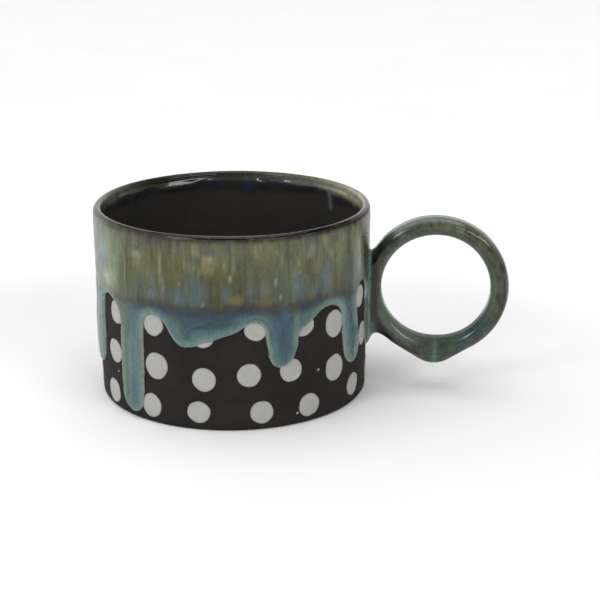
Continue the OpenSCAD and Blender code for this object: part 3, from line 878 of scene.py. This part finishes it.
ld, _ = edge_distance(lu, lv, lap_curve, 48.4)
uv, faces, fv, top = cut_sheet(lu, lv, np.where(above(lu, lv, lap_curve), ld, -ld))
th, z = uv[:, 0], uv[:, 1]
free = fv <= 0
d = np.where(free, 0.0, fv)
depth = CUP_H - z
base = np.asarray(r_in(z)) - LINER_T
base, _ = liner_shape(th, base, z)
lump = lattice(th * 48.6, z, 5, 9, 330)
thick = 0.28 * smooth(d, 0, 5.5) * (0.7 + 0.6 * lump)
turn_at = np.degrees(th)
roll_in = 0.22 * (0.2 + 1.0 * lattice(th * 48.6, z, 14, 60, 331))
for a0, w, high in ((150, 7, 0.3), (82.2, 2.6, 0.7), (62, 8, 0.3), (-50, 14, 0.6), (-120, 10, 0.5)):
    roll_in = roll_in + high * np.exp(-np.abs(((turn_at - a0 + 180) % 360 - 180) / w) ** 2.5)
thick = thick + roll_in * np.exp(-((z - 67.5 - 0.4 * swell(th)) / 1.9) ** 2) * smooth(d, 0, 3)
thick = thick * (1 - smooth(z, 68.4, 70.5))
# at the back left the roll has one even slope, a little longer towards the left
rel = 70.35 - 0.7 * np.clip((turn_at - 112) / 20, 0, 1) - z
ramp = np.where(rel < 0.4, np.clip(rel, 0, None) ** 2 / 0.8, rel - 0.2)
cap = 0.35 + 1.4 * smooth(turn_at, 110, 119)
ramp = np.where(ramp < cap, ramp, cap + 0.3 * (1 - np.exp(-np.clip(ramp - cap, 0, 9) / 0.3)))
ramp = ramp * 0.37 * (0.95 + 0.1 * lattice(th * 48.6, z, 6, 3, 333)) * (1 - smooth(rel, 2.4, 6.5))
thick = thick + (ramp - 0.6 * thick) * np.exp(-np.abs((turn_at - 122.5) / 13) ** 6) * smooth(d, 0, 3) * (z < 70.4)
thick = np.where(free, 0.0, np.maximum(thick, 0.02))
outer_r = np.where(free, base + 0.04, base - thick + 0.03 * smooth(d, 0.5, 0))
inner_r = base + 0.04
tint = blend(inner_tint(th, depth), (52, 50, 48), smooth(d, 1.6, 0.1))
lap = sheet_solid("inner_rim_glaze_coat", uv, faces, top, outer_r, inner_r, LAP, ["inner_rim_glaze"], {"tint": tint})

# ---------------------------------------------------------------- slip dots
# direction, height, width, height of the dot (mm), lean in degrees
DOTS = [
    (-166.6, 7.6, 8.8, 9.0, 0), (-144, 6.5, 9.4, 9.3, 12), (-119, 6.8, 8.5, 9.3, 14), (-97.6, 7, 8.5, 8.5, 0),
    (-71.9, 6.8, 8.7, 8.6, 0), (-50.8, 6.7, 9.0, 8.8, -20), (-23.1, 7.8, 8.8, 8.7, -10), (0.5, 7.2, 8.8, 9, 0),
    (24, 7.4, 8.6, 9, 10), (48, 6.6, 9, 8.8, 0), (71.5, 6.2, 8.4, 8.6, 0), (96, 7.1, 9, 8.8, 10), (120.5, 6.8, 8.6, 9.2, -12),
    (140, 7.8, 8, 9, 0), (169.5, 6.9, 9.1, 8.7, 0),
    (-165, 24, 9, 9.4, 0), (-141.3, 22.8, 9.3, 9.2, 8), (-116, 22.5, 9.6, 10.3, 18), (-95.2, 19.5, 8.7, 9.1, 0),
    (-77, 21.2, 8.6, 9, 10), (-59.4, 21.5, 8.8, 8.8, 0), (-37, 18.1, 9.6, 10.4, -10), (-12.6, 24.9, 8.6, 9.3, 0),
    (14.6, 24.8, 8.4, 9, 0), (38, 21.4, 8.9, 9.6, 12), (56, 22.8, 8.4, 8.8, 0), (83.5, 20.9, 9.2, 9.8, -8),
    (103, 22.4, 8.6, 9, 0), (123.6, 17.4, 8.6, 8.6, 0), (136.2, 23, 8.2, 9.2, 10), (163, 21.8, 9.2, 9.4, 0), (182.5, 23.6, 8.8, 9.2, 0),
    (-138.6, 38.4, 8.7, 9.1, 10), (-116.8, 37.9, 8.5, 8.3, 0), (-95.6, 35.6, 8.6, 8.2, 0), (-74, 38.1, 8.5, 8.2, 0),
    (-53.6, 37.6, 8.6, 8.4, 0), (-37.5, 35.2, 9.2, 10.5, -8), (-17.3, 40.7, 8.4, 8.9, 10), (15.6, 40.8, 8.2, 8.8, 0),
    (38, 37.4, 8.8, 8.6, 0), (54.5, 36.2, 8.4, 8.4, 0), (81.5, 37, 9, 8.8, 0), (100, 35.8, 8.6, 8.6, 0), (111.8, 35.4, 8, 8.8, 0),
    (136, 38.4, 8.6, 9, 0), (162.6, 38, 8.8, 8.8, 0), (179, 37.6, 8.6, 8.6, 0),
    (-46.3, 19.3, 0.9, 1.0, 0), (-56.5, 4.5, 0.9, 0.8, 0), (-139.4, 15.3, 0.7, 0.8, 0), (31, 12.6, 0.8, 0.9, 0), (110, 13.2, 1.0, 0.8, 0)]
N_RIM = 60
RADII = [0.0, 0.3, 0.55, 0.75, 0.88, 0.95, 0.985, 1.0]
LIFT = [1.0, 1.0, 0.98, 0.95, 0.9, 0.78, 0.5, 0.0]
dot_co, dot_fa, dot_rim = [], [], []
for k, (a, h, w, t, lean) in enumerate(DOTS):
    g = np.random.default_rng(100 + k)
    ph = np.arange(N_RIM) * 2 * PI / N_RIM
    uneven = np.ones(N_RIM)
    for q in range(2, 7):
        uneven += g.normal() * 0.016 / (q - 0.6) * 1.6 * np.sin(q * ph + g.uniform(0, 2 * PI))
    ex, ez = 0.5 * w * np.cos(ph) * uneven, 0.5 * t * np.sin(ph) * uneven
    c, s = math.cos(math.radians(lean)), math.sin(math.radians(lean))
    ex, ez = ex * c + ez * s, -ex * s + ez * c
    start = len(dot_co)

    def put_point(x, zz, lift):
        ang = math.radians(a) + x / 50.9
        r = float(r_wall(ang, h + zz)) + lift
        dot_co.append((r * math.cos(ang), r * math.sin(ang), h + zz))

    body = (0.17 + 0.05 * g.random()) * min(1.0, w / 3)
    put_point(0, 0, body)
    dot_rim.append(0.0)
    for rr, lift in zip(RADII[1:], LIFT[1:]):
        for i in range(N_RIM):
            ripple = 1 + 0.12 * math.sin(3 * ph[i] + k) * rr
            put_point(ex[i] * rr, ez[i] * rr, body * lift * ripple if lift else -0.04)
            dot_rim.append(rr)
    for i in range(N_RIM):
        dot_fa.append((start, start + 1 + i, start + 1 + (i + 1) % N_RIM))
    for q in range(len(RADII) - 2):
        o = start + 1 + q * N_RIM
        for i in range(N_RIM):
            j = (i + 1) % N_RIM
            dot_fa.append((o + i, o + N_RIM + i, o + N_RIM + j, o + j))
    # closed underneath
    o = start + 1 + (len(RADII) - 2) * N_RIM
    centre = len(dot_co)
    put_point(0, 0, -0.06)
    dot_rim.append(1.0)
    for i in range(N_RIM):
        dot_fa.append((centre, o + (i + 1) % N_RIM, o + i))
dots = add_mesh("slip_dots_brushed", dot_co, dot_fa, SLIP, ["slip_dots"], {"rim": dot_rim})

# ---------------------------------------------------------------- handle glaze
def smin(a, b, k):
    h = np.clip(k - np.abs(a - b), 0, None) / k
    return np.minimum(a, b) - h * h * k * 0.25


def round_box(u, w, a, b, r):
    qx, qy = np.abs(u) - (a - r), np.abs(w) - (b - r)
    return np.hypot(np.maximum(qx, 0), np.maximum(qy, 0)) + np.minimum(np.maximum(qx, qy), 0) - r


def teardrop(x, z, big, small, h):
    """Distance to the hull of a circle at the origin and a smaller one h below it."""
    x, z = np.abs(x), -z
    b = (big - small) / h
    a = math.sqrt(1 - b * b)
    k = -b * x + a * z
    d1 = np.hypot(x, z) - big
    d2 = np.hypot(x, z - h) - small
    d3 = a * x + b * z - big
    return np.where(k < 0, d1, np.where(k > a * h, d2, d3))


def handle_body(x, y, z):
    """The glazed ring with its point: negative inside."""
    X, Z = x - RING_X, z - RING_Z
    r = np.hypot(X, Z)
    ph = np.arctan2(Z, X)
    fat = 0.10 * np.sin(2 * ph + 0.5) + 0.07 * np.sin(3 * ph + 2.0) + 0.05 * np.sin(5 * ph - 0.6)
    side = 0.12 * np.sin(2 * ph - 1.0) + 0.08 * np.sin(4 * ph)
    nose, drop = 10.5, 2.9
    out = teardrop(X, Z, RING_R + RING_A, nose, RING_R + RING_A + drop - nose) + RING_A
    pool = 0.4 * np.exp(-((ph + PI / 2) / 0.42) ** 2)
    u = np.where(r > RING_R, np.maximum(np.minimum(r - RING_R, out), 0), np.minimum(r - RING_R + pool, 0))
    return round_box(u, y - side * 0.6, RING_A + fat * 0.5, RING_B + 0.08 * np.sin(3 * ph + 1), 3.3)


def cup_skin(x, y, z, sink=0.03):
    """Distance out from the glazed wall, a hair under its surface."""
    th = np.arctan2(y, x)
    return np.hypot(x, y) - (r_body(th, z) + sampled(field_t, th, z) - sink)


def blend_width(z):
    return 3.0 + 5.0 * smooth(RING_Z - z, -6, 14)


def handle_outer(x, y, z):
    return smin(handle_body(x, y, z), cup_skin(x, y, z), blend_width(z))


def handle_clay(x, y, z):
    """The clay ring and its point under the glaze: negative inside."""
    X, Z = x - RING_X, z - RING_Z
    r = np.hypot(X, Z)
    ring = round_box(r - RING_R, y, 2.9, 4.2, 2.9)
    ro = 26.8
    tear = teardrop(X, Z, ro, 1.2, ro + 2.7 - 1.2)
    point = np.maximum(np.maximum(tear, RING_R - r), np.abs(y) - 2.8)
    return np.minimum(ring, np.where(Z < 0, point, 9.0))


def near_handle(x, y, z):
    return handle_body(x, y, z) - 0.86 * blend_width(z)


def glaze_skin(x, y, z):
    th = np.arctan2(y, x)
    f = np.maximum(handle_outer(x, y, z), near_handle(x, y, z))
    return np.maximum(f, r_body(th, z) + 0.12 - np.hypot(x, y))


def glaze_hollow(x, y, z):
    """The room that the clay ring takes inside the glaze, closed just clear of the wall."""
    th = np.arctan2(y, x)
    return np.maximum(handle_clay(x, y, z) - 0.01, r_body(th, z) + 0.34 - np.hypot(x, y))


def fillet_clay(x, y, z):
    th = np.arctan2(y, x)
    f = np.maximum(handle_outer(x, y, z) + 0.55, r_body(th, z) + 0.14 - np.hypot(x, y))
    return np.maximum(f, -(handle_clay(x, y, z) - 0.02))


def surface_nets(fun, lo, hi, h):
    """A quad mesh of fun = 0 on a grid of step h: one point in each cell that the surface crosses, drawn on to it."""
    ax = [np.arange(a, b + h, h) for a, b in zip(lo, hi)]
    gx, gy, gz = np.meshgrid(*ax, indexing="ij")
    F = fun(gx, gy, gz)
    S = F < 0
    n = np.array(F.shape) - 1
    cnt = np.zeros(n)
    pos = np.zeros(tuple(n) + (3,))
    corner = [(i, j, k) for i in (0, 1) for j in (0, 1) for k in (0, 1)]

    def sl(c):
        return tuple(slice(q, q + m) for q, m in zip(c, n))

    for c in corner:
        for axis in range(3):
            if c[axis]:
                continue
            e = list(c)
            e[axis] = 1
            a, b = F[sl(c)], F[sl(e)]
            hit = S[sl(c)] != S[sl(e)]
            with np.errstate(divide="ignore", invalid="ignore"):
                t = np.where(hit, a / (a - b), 0)
            for q in range(3):
                pos[..., q] += np.where(hit, c[q] + (t if q == axis else 0), 0)
            cnt += hit
    cells = cnt > 0
    ids = -np.ones(n, int)
    ids[cells] = np.arange(cells.sum())
    where = np.argwhere(cells)
    co = (where + pos[cells] / cnt[cells][:, None]) * h + np.array(lo)
    faces = []
    for axis in range(3):
        b, c = (axis + 1) % 3, (axis + 2) % 3
        s0 = [slice(None)] * 3
        s1 = [slice(None)] * 3
        s0[axis], s1[axis] = slice(0, -1), slice(1, None)
        A, B = S[tuple(s0)], S[tuple(s1)]
        hit = np.argwhere(A != B)
        hit = hit[(hit[:, b] > 0) & (hit[:, c] > 0) & (hit[:, b] < n[b]) & (hit[:, c] < n[c])]
        ins = A[tuple(hit.T)]
        quad = []
        for db, dc in ((0, 0), (-1, 0), (-1, -1), (0, -1)):
            q = hit.copy()
            q[:, b] += db
            q[:, c] += dc
            quad.append(ids[tuple(q.T)])
        quad = np.stack(quad, -1)
        quad[~ins] = quad[~ins][:, ::-1]
        faces.append(quad)
    faces = np.concatenate(faces)
    faces = faces[(faces >= 0).all(1)]
    for _ in range(3):                            # draw the points on to the surface
        e = 0.02
        x, y, z = co.T
        f = fun(x, y, z)
        g = np.stack([fun(x + e, y, z) - fun(x - e, y, z), fun(x, y + e, z) - fun(x, y - e, z),
                      fun(x, y, z + e) - fun(x, y, z - e)], -1) / (2 * e)
        L = np.maximum((g * g).sum(-1, keepdims=True), 0.25)
        co = co + np.clip(-f[:, None] * g / L, -0.3 * h, 0.3 * h)
    return co, faces


co, fa = surface_nets(glaze_skin, (49.2, -12.5, 7.0), (105.6, 12.5, 71.0), 0.36)
co_in, fa_in = surface_nets(glaze_hollow, (49.2, -12.5, 7.0), (105.6, 12.5, 71.0), 0.6)
fa = np.vstack([fa, fa_in[:, ::-1] + len(co)])
co = np.vstack([co, co_in])
x, y, z = co.T
X, Z = x - RING_X, z - RING_Z
ph, rad = np.degrees(np.arctan2(Z, X)), np.hypot(X, Z)
a1, a2 = x + 0.55 * y, z - 0.45 * y


def fan(centre, width):
    return np.exp(-(((ph - centre + 180) % 360 - 180) / width) ** 2)


big = lattice(a1, a2, 9, 9, 501, around=400)
mid = lattice(a1, a2, 3.6, 4.6, 502, around=400, octaves=4)
spot = lattice(a1, a2, 1.2, 1.6, 503, around=400)
ring_streak = lattice(np.radians(ph) * 24, rad + 0.8 * y, 9, 0.9, 504, around=2 * PI * 24)
tint = stops(big, [(0.2, (38, 49, 42)), (0.45, (48, 57, 46)), (0.6, (58, 62, 48)), (0.85, (68, 70, 52))])
tint = blend(tint, (84, 88, 66), fan(80, 30) * 0.55)
tint = blend(tint, (58, 70, 70), fan(97, 7) * smooth(rad, 21, 24) * 0.5)
tint = blend(tint, (88, 90, 74), fan(120, 16) * smooth(rad, 23.6, 22.2) * 0.7)
tint = blend(tint, (82, 84, 66), fan(2, 26) * 0.7)
tint = blend(tint, (74, 76, 60), fan(38, 16) * smooth(rad, 24.4, 25.6) * 0.6)
tint = blend(tint, (50, 48, 38), fan(-19, 12) * smooth(rad, 24.0, 25.4) * 0.85)
tint = blend(tint, (62, 66, 52), fan(-20, 12) * smooth(rad, 23.8, 22.6) * 0.7)
tint = blend(tint, (38, 66, 74), fan(-50, 20) * 0.9)
tint = blend(tint, (76, 97, 86), fan(-90, 22) * 0.85)
tint = blend(tint, (82, 92, 80), fan(-128, 24) * 0.7)
tint = blend(tint, (84, 84, 68), fan(-50, 20) * smooth(rad, 23.8, 25.4) * 0.8)
tint = blend(tint, (92, 98, 78), fan(84, 16) * smooth(rad, 23.3, 24.6) * 0.65)
streak_dark = np.exp(-((X + 23.2 + 0.5 * (mid - 0.5)) / 1.35) ** 2) * smooth(np.abs(Z), 15, 9)
streak_dark = streak_dark + np.exp(-((rad - 25.6) / 1.3) ** 2) * (0.35 * fan(148, 12) + 0.85 * fan(-146, 15))
streak_dark = streak_dark + 0.75 * np.exp(-((rad - 27.2) / 1.6) ** 2) * fan(-133, 15)
tint = blend(tint, (50, 52, 50), fan(172, 24) * smooth(rad, 24.0, 22.0) * 0.8)
tint = blend(tint, (92, 104, 92), fan(-156, 14) * smooth(rad, 24.4, 22.4) * 0.7)
tint = blend(tint, (54, 63, 58), fan(142, 15) * smooth(rad, 23.2, 25) * 0.8)
tint = tint * (1 + 0.36 * (mid - 0.5) + 0.26 * (spot - 0.5) + 0.24 * (ring_streak - 0.5))[:, None]
tint = blend(tint, (36, 34, 28), smooth(mid, 0.4, 0.2) * 0.5)
tint = blend(tint, (92, 104, 84), smooth(mid, 0.64, 0.88) * 0.45)
tint = blend(tint, (86, 74, 46), smooth(lattice(a1, a2, 4.5, 3.4, 505, around=400), 0.62, 0.85) * 0.45)
brown = smooth(ring_streak, 0.3, 0.6)
tint = blend(tint, (44, 37, 30), np.exp(-((rad - 25.7) / 0.7) ** 2) * (0.75 * fan(5, 50) + 0.5 * fan(-130, 26) + 0.3) * (1 - 0.9 * fan(88, 52)) * brown)
tint = blend(tint, (48, 42, 34), np.exp(-((rad - 22.7) / 0.6) ** 2) * 0.4 * fan(40, 26) * brown)
tint = blend(tint, (96, 112, 98), smooth(rad, 23.3, 21.3) * (1 - 0.7 * fan(-55, 28)) * (1 - 0.6 * fan(97, 22)) * (1 - 0.5 * fan(172, 16)) * (1 - 0.65 * fan(-90, 26)) * (0.5 + 0.6 * ring_streak))
# painted highlight: a pale band on the inner lower left of the ring
tint = blend(tint, (116, 126, 112), np.exp(-((rad - 22.6) / 0.9) ** 2) * fan(-123, 18) * 0.65)
# painted highlight: pale on the outer upper left of the ring
tint = blend(tint, (130, 136, 116), smooth(rad, 25.4, 26.8) * fan(119, 13) * 0.65)
# painted reflection: a pale green-grey band along the ring's outer edge, stronger towards the top
tint = blend(tint, (102, 122, 108), smooth(rad, 25.8, 27.2) * (0.12 + 0.6 * smooth(Z, -14, 12)) * (1 - 0.75 * fan(142, 22)) * (0.5 + 0.8 * ring_streak))
# painted light on the outer half of the ring's top, painted shade on its inner half
tint = blend(tint, (106, 108, 94), smooth(rad, 24.6, 26.4) * fan(82, 36) * np.clip(0.15 + 0.9 * mid, 0, 0.8))
tint = blend(tint, (64, 68, 60), smooth(rad, 24.4, 22.6) * fan(78, 40) * 0.45)
tint = blend(tint, (104, 104, 72), smooth(spot, 0.58, 0.82) * fan(72, 36) * smooth(rad, 22.0, 23.4) * smooth(rad, 26.4, 25.0) * 0.5)
tint = blend(tint, (20, 18, 18), np.clip(streak_dark * 1.25, 0, 1) * smooth(x, 52.0, 53.2) * 0.92)
tint = blend(tint, (64, 90, 86), smooth(x, 56.2, 53.6) * smooth(Z, -9, -15) * 0.8)
# painted highlight: a pale strip along the concave flare where the handle glaze meets the wall
tint = blend(tint, (94, 118, 112), smooth(x, 52.9, 52.2) * 0.8)
# painted shade: a thin dark line in the crease between the wall glaze and the flare
tint = blend(tint, (30, 40, 38), np.exp(-((x - 51.4) / 0.35) ** 2) * 0.5)
strip = np.exp(-((X - 0.2 + 0.8 * (mid - 0.5)) / 0.7) ** 2) * smooth(Z, -19, -22) * (0.5 + ring_streak)
tint = blend(tint, (98, 124, 114), strip * 0.55)
tint = blend(tint, (26, 50, 46), np.exp(-((np.abs(X - 0.2) - 2.8) / 1.5) ** 2) * smooth(Z, -19, -22) * 0.5)
handle = add_mesh("handle_glaze_coat", co, [tuple(int(i) for i in f) for f in fa], HANDLE, ["handle_glaze"],
                  {"tint": tint, "dull": smooth(rad, 22.2, 21.0) * smooth(Z, -4, -12)})
co, fa = surface_nets(fillet_clay, (49.2, -10.0, 9.0), (66.0, 10.0, 66.0), 0.5)
fillet = add_mesh("handle_fillet_clay", co, [tuple(int(i) for i in f) for f in fa], CLAY, ["handle_fillets"])

# ---------------------------------------------------------------- CAD nodes that stay
for name in ("corner_coil", "handle_ring"):
    ob = nodes[name]
    ob.data.materials.clear()
    ob.data.materials.append(CLAY)

# ---------------------------------------------------------------- stage, light, camera
def plain(name, colour, rough):
    m = Mat(name)
    c = m.mix(m.range(m.noise(m.pos, scale=0.01, detail=2), 0.3, 0.7, 0, 1), lin(*colour), lin(*(v - 2 for v in colour)))
    m.set(Base_Color=c, Roughness=rough, Specular_IOR_Level=0.1)
    return m.m


bpy.ops.mesh.primitive_plane_add(size=9.0, location=(0, 0, 0))
ground = bpy.context.object
ground.name = "ground"
ground.data.materials.append(plain("ground_white", (251, 251, 251), 0.9))

# The studio: a soft room whose light differs by side and by height, with two softboxes in front.
world = bpy.data.worlds.new("studio")
scene.world = world
world.use_nodes = True
wt = world.node_tree
wt.nodes.clear()
wo = wt.nodes.new("ShaderNodeOutputWorld")
bg = wt.nodes.new("ShaderNodeBackground")
wc = wt.nodes.new("ShaderNodeTexCoord")
ws = wt.nodes.new("ShaderNodeSeparateXYZ")
wt.links.new(wc.outputs["Generated"], ws.inputs[0])


def wrange(v, a, b, lo, hi):
    n = wt.nodes.new("ShaderNodeMapRange")
    n.interpolation_type = "SMOOTHSTEP"
    wt.links.new(v, n.inputs[0])
    for k, q in zip((1, 2, 3, 4), (a, b, lo, hi)):
        n.inputs[k].default_value = q
    return n.outputs[0]


def wmath(op, a, b=0.0):
    n = wt.nodes.new("ShaderNodeMath")
    n.operation = op
    for k, q in enumerate((a, b)):
        if isinstance(q, bpy.types.NodeSocket):
            wt.links.new(q, n.inputs[k])
        else:
            n.inputs[k].default_value = q
    return n.outputs[0]


wx, wy, wz = ws.outputs
across = wmath("ADD", wmath("MULTIPLY", wx, wx), wmath("ADD", wmath("MULTIPLY", wy, wy), 1e-6))
low = wmath("MULTIPLY", wrange(wz, 0.0, 0.05, 0, 1), wrange(wz, 0.4, 0.6, 1, 0))
middle = wmath("MULTIPLY", wrange(wz, 0.4, 0.6, 0, 1), wrange(wz, 0.8, 0.92, 1, 0))
level = wmath("MULTIPLY", wrange(wz, 0.8, 0.92, 0, 1), 1.9)
# side of the room: its axis and sign, light near the horizon, light half way up
for axis, sign, near_floor, half_way in ((wx, 1.0, 0.33, 0.0), (wx, -1.0, 1.48, 1.15), (wy, -1.0, 0.42, 0.0), (wy, 1.0, 1.08, 0.2)):
    face = wmath("MAXIMUM", wmath("MULTIPLY", axis, sign), 0.0)
    face = wmath("DIVIDE", wmath("MULTIPLY", face, face), across)
    both = wmath("ADD", wmath("MULTIPLY", low, near_floor), wmath("MULTIPLY", middle, half_way))
    level = wmath("ADD", level, wmath("MULTIPLY", face, both))
seen_by_eye = wt.nodes.new("ShaderNodeLightPath").outputs["Is Camera Ray"]
level = wmath("MAXIMUM", level, seen_by_eye)
wt.links.new(level, bg.inputs["Strength"])
bg.inputs["Color"].default_value = (1.0, 1.0, 1.0, 1.0)
wt.links.new(bg.outputs[0], wo.inputs[0])


def softbox(name, side, up, distance, width, height, radiance):
    """A large soft light, aimed at the mug from side degrees right of the front and up degrees above the floor.
    radiance is what its face would measure, with the floor's white as 1."""
    data = bpy.data.lights.new(name, "AREA")
    data.shape = "RECTANGLE"
    data.size, data.size_y = width, height
    data.energy = radiance * PI * width * height
    ob = bpy.data.objects.new(name, data)
    scene.collection.objects.link(ob)
    a, e = math.radians(side), math.radians(up)
    v = Vector((math.sin(a) * math.cos(e), -math.cos(a) * math.cos(e), math.sin(e)))
    ob.location = Vector((0.03, 0, 0.04)) + v * distance
    ob.rotation_mode = "QUATERNION"
    ob.rotation_quaternion = v.to_track_quat("Z", "Y")
    return ob


softbox("softbox_right", 47, 30, 5.0, 3.6, 1.0, 6.0)
softbox("softbox_left", -39, 32, 5.0, 1.8, 1.0, 8.0)

AZ, EL, DIST = math.radians(4.5), math.radians(18.12), 0.55
target = Vector((0.02538, 0.0020, 0.03288))
backv = Vector((math.sin(AZ) * math.cos(EL), -math.cos(AZ) * math.cos(EL), math.sin(EL)))
cam_data = bpy.data.cameras.new("camera")
cam_data.sensor_width = 36.0
cam_data.lens = 86.0
cam_data.clip_start, cam_data.clip_end = 0.01, 50.0
camera = bpy.data.objects.new("camera", cam_data)
scene.collection.objects.link(camera)
camera.location = target + backv * DIST
camera.rotation_mode = "QUATERNION"
camera.rotation_quaternion = backv.to_track_quat("Z", "Y")
scene.camera = camera
scene.view_settings.view_transform = "Standard"
